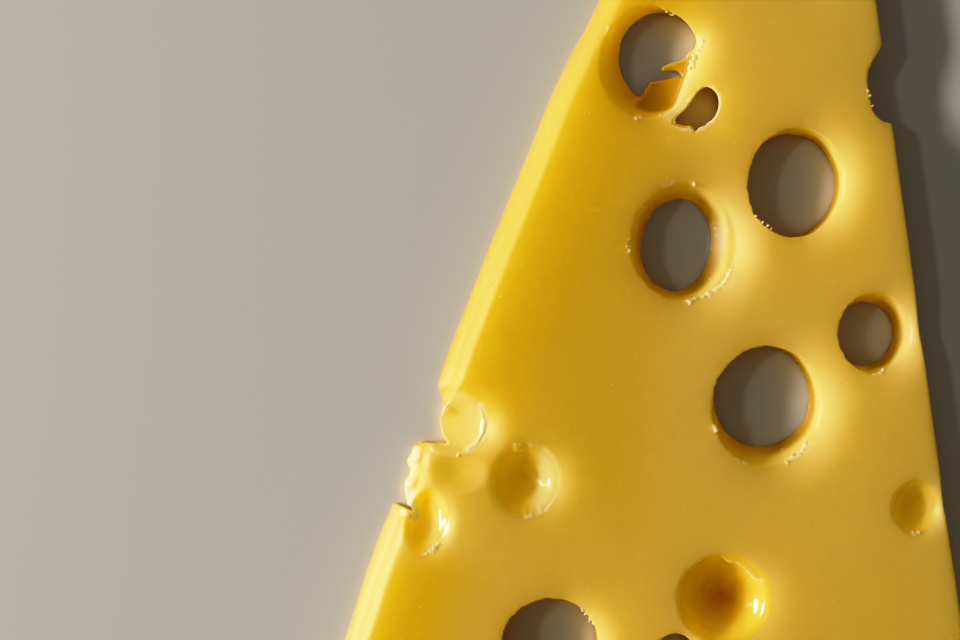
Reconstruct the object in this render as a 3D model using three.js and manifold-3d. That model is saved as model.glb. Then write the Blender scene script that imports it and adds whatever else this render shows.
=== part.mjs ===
// A thin wedge-shaped slice of a semi-hard yellow cheese with large round eyes, in millimetres.
//
// The slice lies flat: +Z is up, its tip points along +Y, and its curved outer end faces -Y.
// Places on it are given as "along", the distance down its centreline from the point where its
// two long sides would meet, and "across", the distance to the right of that line.
import {
  ExtrudeGeometry,
  Group,
  MathUtils,
  Mesh,
  MeshStandardMaterial,
  BufferAttribute,
  BufferGeometry,
  Shape,
  SphereGeometry,
  Vector2,
} from "three";
import { mergeVertices } from "three/addons/utils/BufferGeometryUtils.js";
import Module from "manifold-3d";

// The slice.
const WHEEL_RADIUS = 204; // from the point of the wedge to its outer end
const WEDGE_ANGLE = 29.6; // degrees between the two long sides
const THICKNESS = 4.2;
const EDGE_ROUND = 0.7; // rounding of every long edge
const TIP_RADIUS = 1.5;
const CORNER_CUT = 2.5; // how far from each outer corner its rounding begins

// The left side was not cut straight. Its foot wanders off the straight side, given as [along,
// distance inside it], and its top lies further in by the slant.
const LEFT_FOOT = [
  [0, 0],
  [30, 0.1],
  [72, 0.5],
  [78, 0.1],
  [84, -0.75],
  [90, -1.15],
  [110, -1.25],
  [127, -1.25],
  [131, -1.05],
  [142, -1.15],
  [147, -0.1],
  [151, -0.55],
  [160, -0.42],
  [170, 0.27],
  [204, 1.3],
];
const LEFT_SLANT = [
  [0, 0],
  [15, 0.1],
  [60, 1.5],
  [130, 1.9],
  [142, 2.3],
  [149, 2.3],
  [153, 1.9],
  [204, 1.7],
];
const SLANT_FADE = 10; // the slant dies out over this distance in from the side

// Fineness of the faceted surface.
const SIDE_STEPS = 54;
const CURVE_STEPS = 12;
const ROUND_STEPS = 3;
const EYE_SEGMENT = 1.3; // length of a facet round an eye's rim
const EYE_SEGMENTS_MIN = 14;
const EYE_SEGMENTS_MAX = 40;
const MERGE_DISTANCE = 1e-4;
const CUT_MARGIN = 2; // cutting solids reach this far past the faces that they cut

// The eyes. Each is part of a gas bubble. "rim" holds half its width and half its length where it
// opens in the top face. An eye that goes right through gives "floor", the size of its opening in
// the underside as a share of its rim, and one that stays blind gives "depth". "lean" is how far
// the foot of the eye is shifted from its rim, across and along, "squeeze" is the share by which the
// foot is narrower than the bubble makes it, and "stretch" makes the bubble that many times taller
// than a sphere, so that its walls are steeper. "edge" is an upright plane through two places that
// bounds the eye on its right, for one who goes from the first to the second.
const EYES = [
  { name: "near_tip", across: -0.6, along: 36, rim: [2.1, 2.4], depth: 1.6 },
  { name: "upper", across: -2.2, along: 54, rim: [4.0, 4.6], floor: 0.85 },
  { name: "upper_right", across: 7.2, along: 67.5, rim: [3.1, 3.4], depth: 2.2 },
  {
    name: "wide",
    across: -3.7,
    along: 108.6,
    rim: [7.8, 8.3],
    floor: 0.76,
    lean: [-1.05, 0.3],
    squeeze: 0.23,
  },
  { name: "right_upper", across: 10.8, along: 98.4, rim: [6.7, 7.6], floor: 0.97 },
  { name: "right_edge", across: 22.6, along: 82.6, rim: [3.4, 5.6], floor: 0.9 },
  { name: "right_middle", across: 10.6, along: 130.2, rim: [7.8, 8.4], floor: 0.85, lean: [0, -1.3] },
  { name: "covered_upper", across: 24.5, along: 118, rim: [5.2, 5.6], floor: 0.8, lean: [-0.4, 0.2] },
  { name: "covered_lower", across: 33, along: 141.5, rim: [3.3, 3.6], depth: 2.2 },
  {
    name: "left_edge_upper",
    across: -34,
    along: 137.9,
    rim: [6.2, 4.75],
    depth: 3.3,
    edge: [
      [-34.85, 137.9],
      [-33.05, 133.6],
    ],
  },
  { name: "left_dimple", across: -21.7, along: 144.5, rim: [4.7, 5.1], depth: 3.4 },
  { name: "left_edge_lower", across: -35, along: 152.2, rim: [3.5, 4.5], depth: 2.7, lean: [0, -2.2] },
  { name: "lower_left", across: -15.6, along: 166.9, rim: [6.6, 6.2], floor: 1.0 },
  { name: "lower_right", across: 7.8, along: 157.7, rim: [6.5, 6.4], depth: 3.8 },
  { name: "lower_small", across: 1.9, along: 166.2, rim: [2.8, 2.8], floor: 0.9, stretch: 2 },
  { name: "end_middle", across: -3.4, along: 176.2, rim: [3.6, 3.7], floor: 0.8, stretch: 1.4 },
  { name: "end_dimple", across: 10.6, along: 178.6, rim: [4.2, 4.1], depth: 2.3 },
  { name: "end_left", across: -33, along: 184, rim: [5.5, 5.9], floor: 0.85 },
  { name: "end_right", across: 29, along: 181, rim: [6.3, 6.8], floor: 0.9, lean: [0.5, 0.4] },
];

// The largest eye still has a torn film of cheese across part of its foot. The tear runs through
// these points, and the film lies to the right of it and below.
const TORN_EYE = {
  across: -11.9,
  along: 84.2,
  rim: [7.1, 7.8],
  floor: 0.82,
  lean: [2.2, -1.9],
  edge: [
    [-5.0, 79.8],
    [-6.9, 89.0],
  ],
};
const FILM_BOTTOM = 0.3;
const FILM_TOP = 1.1;
const FILM_TEAR = [
  [-2, 80.6],
  [-5.6, 81.1],
  [-6.1, 81.9],
  [-8.3, 83.2],
  [-9.2, 83.8],
  [-9.4, 85.6],
  [-10.7, 86.1],
  [-12.5, 89.2],
  [-14.2, 92],
  [-14.2, 97],
  [-2, 97],
];

// A small kidney-shaped eye beside it goes straight through.
const KIDNEY = [
  [-7.4, 91.5],
  [-5.8, 89.8],
  [-4.8, 87.6],
  [-3.6, 86.4],
  [-1.9, 87.1],
  [-1.2, 88.8],
  [-1.7, 91.0],
  [-3.2, 92.3],
  [-4.2, 93.1],
  [-6.2, 92.8],
  [-7.4, 92.2],
];

// Where two blind eyes break through the left side, the side is torn. Each tear is an outline of
// [inset from the straight side, along], and a negative inset lies outside the slice.
const UPPER_TEAR = [
  [-3, 131.6],
  [-1.2, 131.8],
  [-0.5, 133],
  [0.7, 134.6],
  [1.5, 136.4],
  [1.7, 138.2],
  [2.9, 140.1],
  [3.9, 141.1],
  [0.4, 141.3],
  [-0.8, 142.2],
  [-3, 142.2],
];
const LOWER_TEAR = [
  [-3, 147.2],
  [0.2, 147.4],
  [1.1, 149.1],
  [1.7, 150.3],
  [2.4, 150.5],
  [3.3, 151.6],
  [1.6, 151.0],
  [0.0, 150.5],
  [-3, 150.9],
];

const CHEESE_COLOUR = "#d9a92e";
const CHEESE_ROUGHNESS = 0.35;

const HALF_ANGLE = MathUtils.degToRad(WEDGE_ANGLE / 2);
const SIDE_SLOPE = Math.tan(HALF_ANGLE);

const wasm = await Module();
wasm.setup();

// A closed geometry as a manifold-3d solid.
function solidOf(geometry) {
  const bare = geometry.clone();
  bare.deleteAttribute("normal");
  bare.deleteAttribute("uv");
  const merged = mergeVertices(bare, MERGE_DISTANCE);
  const vertProperties = merged.attributes.position.array;
  const triVerts = new Uint32Array(merged.index.array);
  return new wasm.Manifold(new wasm.Mesh({ numProp: 3, vertProperties, triVerts }));
}

// A manifold-3d solid as a geometry.
function geometryOf(solid) {
  const mesh = solid.getMesh();
  const geometry = new BufferGeometry();
  geometry.setAttribute("position", new BufferAttribute(mesh.vertProperties, mesh.numProp));
  geometry.setIndex(new BufferAttribute(mesh.triVerts, 1));
  geometry.computeVertexNormals();
  return geometry;
}

// A value between the entries of a table of [along, value].
function valueAt(table, along) {
  const next = Math.max(1, table.findIndex(([place]) => place >= along));
  const [place0, value0] = table[next - 1];
  const [place1, value1] = table[next];
  return MathUtils.lerp(value0, value1, (along - place0) / (place1 - place0));
}

// How far a place lies inside the straight line of the left side.
function insetFromLeft(across, along) {
  return across + along * SIDE_SLOPE;
}

// The points of a closed outline, without those that lie on the point before them.
function withoutRepeats(points) {
  return points.filter((point, i) => point.distanceTo(points.at(i - 1)) > MERGE_DISTANCE * 10);
}

// The slice's outline from above, with the meeting point of its sides at (0, 0).
function wedgeOutline() {
  const tipCentre = TIP_RADIUS / Math.sin(HALF_ANGLE);
  const sideStart = tipCentre * Math.cos(HALF_ANGLE) ** 2;
  const sideEnd = (WHEEL_RADIUS - CORNER_CUT) * Math.cos(HALF_ANGLE);
  const cornerX = WHEEL_RADIUS * Math.sin(HALF_ANGLE);
  const cornerY = -WHEEL_RADIUS * Math.cos(HALF_ANGLE);
  const cornerTurn = CORNER_CUT / WHEEL_RADIUS;
  const arcStart = -Math.PI / 2 - HALF_ANGLE + cornerTurn;
  const arcEnd = -Math.PI / 2 + HALF_ANGLE - cornerTurn;
  const outline = new Shape();
  outline.moveTo(-sideStart * SIDE_SLOPE, -sideStart);
  for (let step = 1; step <= SIDE_STEPS; step++) {
    const along = MathUtils.lerp(sideStart, sideEnd, step / SIDE_STEPS);
    outline.lineTo(-along * SIDE_SLOPE + valueAt(LEFT_FOOT, along), -along);
  }
  const arcX = WHEEL_RADIUS * Math.cos(arcStart);
  const arcY = WHEEL_RADIUS * Math.sin(arcStart);
  outline.quadraticCurveTo(-cornerX + valueAt(LEFT_FOOT, -cornerY), cornerY, arcX, arcY);
  outline.absarc(0, 0, WHEEL_RADIUS, arcStart, arcEnd, false);
  outline.quadraticCurveTo(cornerX, cornerY, sideEnd * SIDE_SLOPE, -sideEnd);
  outline.lineTo(sideStart * SIDE_SLOPE, -sideStart);
  outline.absarc(0, -tipCentre, TIP_RADIUS, HALF_ANGLE, Math.PI - HALF_ANGLE, false);
  return new Shape(withoutRepeats(outline.getPoints(CURVE_STEPS)));
}

// Shifts the left side inwards, more the higher it is, so that it leans.
function slantLeftSide(geometry) {
  const position = geometry.attributes.position;
  for (let i = 0; i < position.count; i++) {
    const along = -position.getY(i);
    const inset = insetFromLeft(position.getX(i), along);
    const nearness = MathUtils.clamp(1 - inset / SLANT_FADE, 0, 1);
    const height = position.getZ(i) / THICKNESS;
    const slant = valueAt(LEFT_SLANT, along) * nearness * height;
    position.setX(i, position.getX(i) + slant);
  }
}

// The whole slice before its eyes are cut.
function plainSlice() {
  const geometry = new ExtrudeGeometry(wedgeOutline(), {
    depth: THICKNESS - 2 * EDGE_ROUND,
    bevelThickness: EDGE_ROUND,
    bevelSize: EDGE_ROUND,
    bevelOffset: -EDGE_ROUND,
    bevelSegments: ROUND_STEPS,
  });
  geometry.translate(0, 0, EDGE_ROUND);
  slantLeftSide(geometry);
  return solidOf(geometry);
}

// The height of a round bubble's middle above the underside, and its radius, for an eye that has
// the given mean rim radius in a slice of the given thickness. Both follow from the two circles
// that the faces cut from the bubble, or from its depth below the top face.
function bubble(thickness, rimRadius, { floor, depth }) {
  if (depth !== undefined) {
    const radius = (rimRadius ** 2 + depth ** 2) / (2 * depth);
    return { middle: thickness - depth + radius, radius };
  }
  const floorRadius = rimRadius * floor;
  const middle = (rimRadius ** 2 - floorRadius ** 2 + thickness ** 2) / (2 * thickness);
  return { middle, radius: Math.hypot(floorRadius, middle) };
}

// The part of a solid on the left of an upright plane through two places.
function leftOfEdge(solid, [[across0, along0], [across1, along1]]) {
  const length = Math.hypot(across1 - across0, along1 - along0);
  const normalX = (along0 - along1) / length;
  const normalY = (across0 - across1) / length;
  return solid.trimByPlane([normalX, normalY, 0], normalX * across0 - normalY * along0);
}

// The solid that cuts one eye: a sphere, stretched to the rim's two sizes, squeezed and leant.
function eyeCutter(eye) {
  const [halfWidth, halfLength] = eye.rim;
  const rimRadius = (halfWidth + halfLength) / 2;
  const stretch = eye.stretch ?? 1;
  const { middle, radius } = bubble(THICKNESS / stretch, rimRadius, eye);
  const around = Math.round((2 * Math.PI * rimRadius) / EYE_SEGMENT);
  const segments = MathUtils.clamp(around, EYE_SEGMENTS_MIN, EYE_SEGMENTS_MAX);
  const rings = Math.round((Math.PI * radius) / (2 * EYE_SEGMENT));
  const geometry = new SphereGeometry(radius, segments, Math.max(rings, EYE_SEGMENTS_MIN));
  geometry.rotateX(Math.PI / 2);
  geometry.scale(halfWidth / rimRadius, halfLength / rimRadius, stretch);
  geometry.translate(eye.across, -eye.along, middle * stretch);
  const [leanAcross, leanAlong] = eye.lean ?? [0, 0];
  const squeeze = eye.squeeze ?? 0;
  const position = geometry.attributes.position;
  for (let i = 0; i < position.count; i++) {
    const below = (THICKNESS - position.getZ(i)) / THICKNESS;
    const narrower = (position.getX(i) - eye.across) * squeeze * below;
    position.setX(i, position.getX(i) - narrower + leanAcross * below);
    position.setY(i, position.getY(i) - leanAlong * below);
  }
  const solid = solidOf(geometry);
  return eye.edge ? leftOfEdge(solid, eye.edge) : solid;
}

// An upright solid between two heights with the outline of the given [across, along] points.
function uprightSolid(points, bottom, top) {
  const outline = new Shape(points.map(([across, along]) => new Vector2(across, -along)));
  const geometry = new ExtrudeGeometry(outline, { depth: top - bottom, bevelEnabled: false });
  geometry.translate(0, 0, bottom);
  return solidOf(geometry);
}

// The largest eye's cutter, which spares the torn film at its foot.
function tornEyeCutter() {
  return eyeCutter(TORN_EYE).subtract(uprightSolid(FILM_TEAR, FILM_BOTTOM, FILM_TOP));
}

// An upright cutter with the outline of the points.
function uprightCutter(points) {
  return uprightSolid(points, -CUT_MARGIN, THICKNESS + CUT_MARGIN);
}

// The cutter of one tear in the left side.
function tearCutter(tear) {
  return uprightCutter(tear.map(([inset, along]) => [inset - along * SIDE_SLOPE, along]));
}

function cheeseSlice() {
  const eyeCutters = [...EYES.map(eyeCutter), tornEyeCutter(), uprightCutter(KIDNEY)];
  const cutters = [...eyeCutters, tearCutter(UPPER_TEAR), tearCutter(LOWER_TEAR)];
  const solid = cutters.reduce((rest, cutter) => rest.subtract(cutter), plainSlice());
  const geometry = geometryOf(solid);
  const material = new MeshStandardMaterial({
    color: CHEESE_COLOUR,
    roughness: CHEESE_ROUGHNESS,
    metalness: 0,
  });
  const mesh = new Mesh(geometry, material);
  mesh.name = "cheese_slice";
  return mesh;
}

// The origin is the middle of the slice's box, on the underside.
function centreOnBox(mesh) {
  mesh.geometry.computeBoundingBox();
  const { min, max } = mesh.geometry.boundingBox;
  mesh.position.set(-(min.x + max.x) / 2, -(min.y + max.y) / 2, 0);
}

const slice = cheeseSlice();
centreOnBox(slice);

const part = new Group();
part.add(slice);

export default part;
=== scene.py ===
"""Looks of a thin wedge-shaped slice of cheese with large round eyes.

The slice is modelled as a signed distance field in millimetres, negative inside the cheese, on a
regular grid. The field is meshed once, and the mesh stands for the frame's one solid. Places on
the slice are given as "along", the distance down its centreline from the point where its two long
sides would meet, and "across", the distance to the right of that line.
"""

import itertools
import math

import bpy
import numpy as np
import openvdb
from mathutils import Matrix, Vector


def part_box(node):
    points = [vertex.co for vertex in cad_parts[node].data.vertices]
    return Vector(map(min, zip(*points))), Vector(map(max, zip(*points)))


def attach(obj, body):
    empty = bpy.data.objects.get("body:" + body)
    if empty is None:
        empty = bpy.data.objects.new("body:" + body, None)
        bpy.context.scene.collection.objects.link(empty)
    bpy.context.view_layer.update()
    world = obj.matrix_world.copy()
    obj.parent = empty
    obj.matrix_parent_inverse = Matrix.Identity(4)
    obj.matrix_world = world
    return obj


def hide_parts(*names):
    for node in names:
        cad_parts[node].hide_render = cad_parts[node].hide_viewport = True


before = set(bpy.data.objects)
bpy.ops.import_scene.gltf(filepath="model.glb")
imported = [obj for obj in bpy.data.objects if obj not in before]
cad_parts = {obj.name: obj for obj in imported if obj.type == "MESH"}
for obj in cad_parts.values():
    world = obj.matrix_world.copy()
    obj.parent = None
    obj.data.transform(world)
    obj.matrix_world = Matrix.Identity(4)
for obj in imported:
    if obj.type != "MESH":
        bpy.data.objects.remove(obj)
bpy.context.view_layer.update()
NODE = "cheese_slice"

MM = 0.001  # metres in a millimetre

# The slice, as its solid has it.
WHEEL_RADIUS = 204
WEDGE_ANGLE = math.radians(29.6)
THICKNESS = 4.2
TIP_RADIUS = 1.5
CORNER_RADIUS = 1.6
CORNER_ACROSS = 51.6  # the outermost point of the right outer corner

# The left side, the one that catches the light. Its foot wanders off the straight side, given as
# (along, distance inside it), and its top lies further in by the slant.
LEFT_FOOT = [
    (0, 0),
    (30, 0.1),
    (72, 0.5),
    (78, 0.1),
    (84, -0.75),
    (90, -1.15),
    (110, -1.25),
    (127, -1.25),
    (131, -1.05),
    (142, -1.15),
    (147, -0.1),
    (151, -0.55),
    (160, -0.42),
    (170, 0.27),
    (204, 1.6),
]
LEFT_SLANT = [(0, 0), (15, 0.1), (60, 1.5), (130, 1.9), (142, 2.3), (149, 2.3), (153, 1.9), (204, 1.7)]

# The fine surface.
STEP = 0.14  # grid spacing
ADAPTIVITY = 0.004
MARGIN = 0.7  # of the grid round the slice
FIRST_ALONG = 3  # the grid starts here, a little before the tip
BAND = 1.0  # distances are kept up to this far from the surface
TOP_DROP = 0.16  # the flat of the top lies this far below the slice's highest crumbs
KNIFE_WAVER = 0.12
TOP_EDGE_ROUND = 0.45
LIT_EDGE_ROUND = 2.8  # the top of the left side is rounder
LIT_EDGE_REACH = 5
LIT_EDGE_GROWS = (15, 60)  # it comes in between these two places along the side
FOOT_ROUND = 0.25
SHOULDER_DROP = [(0, 0), (15, 0), (60, 1.0), (130, 1.0), (143, 1.4), (149, 1.4), (158, 1.0), (204, 1.0)]
SHOULDER_REACH = 2.6  # the top falls away towards the left side over about this distance
BROW_DROP = 0.35  # a share of the shoulder's drop that comes over a shorter distance
BROW_REACH = 0.9
LIP_WIDTH = 0.6  # of an eye's radius: how far from its right rim the top begins to sag
LIP_SLOPE = 0.7  # how steep the sagging top is at the right rim
WIDE_SAG = 0.15
WIDE_SAG_REACH = 4.5
RIM_BELOW = 0.3  # the sag grows until this far inside the rim
# Painted sheen: the sagging lips beside the eyes are drawn paler, the more the further they sag.
LIP_SHEEN = 0.2
LIP_FALL = 1.2  # a lip that has sagged this far is palest
BOWL_BOTTOM = 0.12  # keeps the bottom of a bowl round

HALF_ANGLE = WEDGE_ANGLE / 2
SIDE_SLOPE = math.tan(HALF_ANGLE)
TIP_ALONG = TIP_RADIUS / math.sin(HALF_ANGLE) - TIP_RADIUS
TOP = THICKNESS - TOP_DROP

# The eyes. "rim" holds half the width and half the length of the opening in the top. An eye that
# goes right through gives "floor", the size of its opening in the underside as a share of the rim,
# and one that stays blind gives "depth". "lean" shifts its foot, "squeeze" narrows the foot from
# side to side, "stretch" makes the bubble taller than a sphere, and "bowl" makes its wall steepen by
# that power instead. "sag" is how many times the usual the top sags beside it. "edge" is a line that
# cuts the eye off, which is on the right of one who walks along it, and "edge_round" rounds the two
# together. Three are pairs, for the eye's left and its right: "soft" is how far the rim is rounded,
# the gloss how wet the wall looks, and how far painted light brightens its colour, and "pale" how
# pale it is drawn, a painted sheen.
# "crumbs" are rows of torn crumbs along the rim: the angle of the row's middle, from the slice's
# right and counter-clockwise, half the row's spread, how many there are, and their size.
EYES = [
    dict(across=-0.6, along=36, rim=(2.1, 2.4), depth=1.6, soft=(0.4, 0.6), gloss_and_glow=(0.8, 0.8)),
    dict(across=-2.2, along=54, rim=(4.0, 4.6), floor=0.85, soft=(0.2, 0.6), crumbs=[(-60, 20, 6, 0.28)]),
    dict(
        across=7.2,
        along=67.5,
        rim=(3.1, 3.4),
        depth=2.2,
        soft=(0.4, 0.8),
        gloss_and_glow=(0.9, 0.9),
        crumbs=[(100, 5, 2, 0.22)],
    ),
    dict(
        across=-11.9,
        along=84.2,
        rim=(7.1, 7.8),
        floor=0.82,
        lean=(2.2, -1.9),
        soft=(0.12, 0.8),
        edge=((-5.0, 79.8), (-6.9, 89.0)),
        edge_round=0.6,
        crumbs=[(152, 4, 2, 0.2), (74, 7, 5, 0.16), (-93, 3, 2, 0.24), (-60, 6, 3, 0.2)],
    ),
    dict(
        across=-3.7,
        along=108.6,
        rim=(7.8, 8.3),
        floor=0.68,
        bowl=3.2,
        squeeze=0.2,
        lean=(-0.65, 0.2),
        soft=(0.12, 0.9),
        crumbs=[
            (82, 3, 2, 0.26),
            (112, 8, 3, 0.16),
            (190, 4, 3, 0.26),
            (-74, 5, 6, 0.36),
            (-42, 22, 22, 0.24),
        ],
    ),
    dict(
        across=10.8,
        along=98.4,
        rim=(6.7, 7.6),
        floor=0.97,
        soft=(0.12, 0.5),
        crumbs=[(-125, 10, 5, 0.24)],
    ),
    dict(across=22.6, along=82.6, rim=(3.4, 5.6), floor=0.9, soft=(0.2, 0.4), crumbs=[(-150, 12, 4, 0.24)]),
    dict(
        across=10.6,
        along=130.2,
        rim=(7.8, 8.4),
        floor=0.85,
        lean=(0, -1.3),
        soft=(0.12, 0.5),
        crumbs=[(-152, 3, 4, 0.3), (-110, 10, 4, 0.18), (-45, 16, 12, 0.26)],
    ),
    dict(
        across=24.5,
        along=118,
        rim=(5.2, 5.6),
        floor=0.8,
        lean=(-0.4, 0.2),
        soft=(0.15, 0.5),
        crumbs=[(-75, 14, 8, 0.26)],
    ),
    dict(
        across=33,
        along=141.5,
        rim=(3.3, 3.6),
        depth=2.2,
        soft=(0.5, 0.8),
        gloss_and_glow=(0.8, 0.8),
        crumbs=[(-80, 6, 2, 0.2)],
    ),
    dict(
        across=-34,
        along=137.9,
        rim=(6.2, 4.75),
        depth=3.3,
        sag=1.15,
        soft=(0.1, 0.3),
        gloss_and_glow=(1.0, 1.0),
        pale=(0.5, 0.5),
        edge=((-34.85, 137.9), (-33.05, 133.6)),
        edge_round=0.2,
        crumbs=[(-72, 3, 2, 0.2)],
    ),
    dict(
        across=-21.7,
        along=144.5,
        rim=(4.7, 5.1),
        depth=3.2,
        bowl=1.6,
        sag=0.65,
        soft=(0.9, 0.4),
        gloss_and_glow=(1.0, 1.0),
        pale=(0, 0.5),
        crumbs=[(83, 4, 3, 0.12), (111, 4, 3, 0.12), (-77, 4, 3, 0.2), (-42, 12, 5, 0.12)],
    ),
    dict(
        across=-35.2,
        along=152.2,
        rim=(3.2, 4.4),
        depth=2.7,
        lean=(0, -2.2),
        soft=(0.7, 0.25),
        gloss_and_glow=(1.0, 1.0),
        pale=(0, 0.35),
        crumbs=[(-51, 10, 9, 0.3), (-76, 10, 6, 0.17)],
    ),
    dict(
        across=-15.6,
        along=166.9,
        rim=(6.6, 6.2),
        floor=1.0,
        soft=(0.12, 0.5),
        crumbs=[(41, 13, 10, 0.24)],
    ),
    dict(
        across=7.8,
        along=157.7,
        rim=(6.5, 6.4),
        depth=3.8,
        bowl=3,
        sag=0.3,
        soft=(0.3, 0.5),
        gloss_and_glow=(1, 1),
    ),
    dict(across=1.9, along=166.2, rim=(2.8, 2.8), floor=0.9, stretch=2, soft=(0.15, 0.4)),
    dict(
        across=-3.4,
        along=176.2,
        rim=(3.6, 3.7),
        floor=0.8,
        stretch=1.4,
        soft=(0.15, 0.5),
        crumbs=[(-80, 18, 7, 0.26)],
    ),
    dict(
        across=10.6,
        along=178.6,
        rim=(4.2, 4.1),
        depth=2.3,
        soft=(0.5, 0.8),
        gloss_and_glow=(0.9, 0.9),
        crumbs=[(70, 8, 3, 0.2)],
    ),
    dict(across=-33, along=184, rim=(5.5, 5.9), floor=0.85, soft=(0.15, 0.5), crumbs=[(-65, 20, 12, 0.28)]),
    dict(
        across=29,
        along=181,
        rim=(6.3, 6.8),
        floor=0.9,
        lean=(0.5, 0.4),
        soft=(0.15, 0.5),
        crumbs=[(-100, 16, 10, 0.28)],
    ),
]
TORN_EYE = EYES[3]
OPEN_EYES = [eye for eye in EYES if "floor" in eye]

# The looks of eye walls, for an eye's left and its right. The heights are where a look ends.
# The gloss also draws the walls a brighter colour, as painted light in their shade.
DRY_WALL = (0.3, 0.3)  # the gloss of the eyes that give none
# Painted sheen: how pale the walls are drawn.
PLAIN_WALL = (0, 0)  # and how pale they are
# Painted reflected light: a deeper, redder colour towards the foot of the open eyes' walls.
FOOT_BOUNCE = (0.5, 0.35)  # the deeper colour of the open eyes
FOOT_BOUNCE_ENDS = (0.1, 2.4)
# Painted shadow: the dark band at the very foot of the open eyes.
FOOT_SHADE = (0, 0.8)  # the dark band at their very foot
FOOT_SHADE_ENDS = (0.8, 1.8)
WALL_ENDS = (0.25, 0.6)  # a place is on a wall up to this far from it
RIGHT_STARTS = (-0.1, 0.5)  # the right of an eye comes in here, in shares of its half width

# The pale ridge to the right of the largest eye, and the crumbs on it as (across, along, size).
RIDGE = [(-4.7, 80.0), (-5.6, 83.6), (-6.8, 87.6), (-7.6, 91.2)]
RIDGE_REACH = 1.9
RIDGE_PALE = 0.55
RIDGE_CRUMBS = [
    (-4.6, 80.2, 0.36),
    (-4.9, 81.5, 0.3),
    (-5.2, 82.4, 0.42),
    (-5.4, 83.3, 0.42),
    (-5.8, 84.0, 0.32),
]

# The torn film across the foot of the largest eye.
FILM_HEIGHT = 0.45
FILM_RISE = 0.008  # for each square millimetre away from the film's lowest place
FILM_LOWEST = (-8.5, 87)
FILM_HALF_THICKNESS = 0.28
# painted shade: how brown the torn film is drawn
FILM_BROWN = 0.15
# Painted shade on the torn film, which lies in shadow.
FILM_SHADE = 0.75
FILM_ENDS = (1.2, 2.4)  # the height where its looks end
FILM_WINDOW = 12
FILM = [
    (-3.5, 80.6),
    (-5.6, 81.1),
    (-6.1, 81.9),
    (-7.1, 82.6),
    (-8.3, 83.2),
    (-9.2, 83.8),
    (-9.4, 85.6),
    (-10.7, 86.1),
    (-11.4, 87.6),
    (-12.5, 89.2),
    (-13.4, 90.9),
    (-14.2, 92),
    (-14.2, 97),
    (-3.5, 97),
]
FILM_SLIT = [(-9.9, 84.3), (-6.9, 84.1), (-5.8, 85.3), (-6.9, 84.8), (-7.9, 85.2), (-9.9, 85.9)]

# The kidney-shaped eye beside it, its middle, and how far its foot is shifted.
KIDNEY = [
    (-7.4, 91.5),
    (-5.8, 89.8),
    (-4.8, 87.6),
    (-3.6, 86.4),
    (-1.9, 87.1),
    (-1.2, 88.8),
    (-1.7, 91.0),
    (-3.2, 92.3),
    (-4.2, 93.1),
    (-4.9, 92.5),
    (-6.2, 92.8),
    (-7.4, 92.2),
]
KIDNEY_MIDDLE = (-4.5, 90)
KIDNEY_WINDOW = 7
KIDNEY_LEAN = (0.9, -0.9)

# The torn skin that overhangs the deep eye, its middle, and its free edge.
FLAP = [
    (4.8, 150.6),
    (6.6, 151.5),
    (7.9, 152.7),
    (9.0, 152.6),
    (10.2, 153.2),
    (11.3, 154.3),
    (12.7, 154.7),
    (15.0, 155.6),
    (15.5, 152),
    (12, 149.6),
    (8, 149.2),
]
FLAP_MIDDLE = (10, 152.5)
FLAP_WINDOW = (7, 6)
FLAP_HALF_THICKNESS = 0.25
FLAP_EDGE = [(7.0, 151.8), (8.0, 152.9), (9.2, 152.7), (10.4, 153.4), (11.4, 154.4), (12.9, 154.8)]

# The two tears in the left side, as (inset from the straight side, along).
UPPER_TEAR = [
    (-3, 131.6),
    (-1.2, 131.8),
    (-0.5, 133),
    (0.7, 134.6),
    (1.5, 136.4),
    (1.7, 138.2),
    (2.9, 140.1),
    (3.9, 141.1),
    (2.2, 141.3),
    (0.4, 141.3),
    (-0.8, 142.2),
    (-3, 142.2),
]
LOWER_TEAR = [
    (-3, 147.2),
    (0.2, 147.4),
    (1.1, 149.1),
    (1.7, 150.3),
    (2.4, 150.5),
    (3.3, 151.6),
    (1.6, 151.0),
    (0.0, 150.5),
    (-3, 150.9),
]
TEAR_WINDOW = 9
SIDE_CRUMBS = [
    (-37.1, 141.5, 0.3),
    (-36.6, 141.4, 0.22),
    (-38.3, 142.4, 0.34),
    (-37.9, 142.8, 0.26),
    (-38.2, 149.3, 0.26),
    (-37.8, 150.2, 0.28),
    (-35.2, 131.5, 0.28),
]

# The tongue between the tears has a shallow dimple, and a sharper top than the rest of that side.
TONGUE_DIMPLE = dict(across=-32.3, along=144.4, rim=(4.4, 2.8), depth=1.3, soft=(0.8, 0.8), sag=0.4)
TONGUE_SHARPER = 0.6

# The torn face at the tongue's left.
TONGUE_FACE = [(-38.2, 143.2), (-38.5, 144.6), (-38.7, 146.0), (-38.7, 147.4), (-38.2, 148.8)]
TONGUE_FACE_HEIGHT = 1.4
TONGUE_FACE_REACH = 1.1

# The thin wall at the left of the eye at the side is torn down to this much below the top.
TORN_DIP = (-35.0, 135.0)
TORN_DIP_REACH = 1.8
TORN_DIP_DEPTH = 1.6

# Painted shade: the bottom of the deep eye is thin, and is drawn brown for the dark that shows through it.
THIN_BOTTOM = (8.7, 158.2)
THIN_REACH = 3.0
THIN_ENDS = (1.5, 2.5)  # the height where that look ends

# A thin lip of wet skin that hangs inside the right rim of the eye at the side. Along it the torn
# colour is a painted highlight.
WET_LIP = [(-29.3, 134.9), (-28.6, 137.0), (-28.6, 138.9), (-29.2, 140.4), (-30.3, 141.3)]
WET_LIP_RADIUS = 0.24
WET_LIP_THICKENS = (134, 139)

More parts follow.
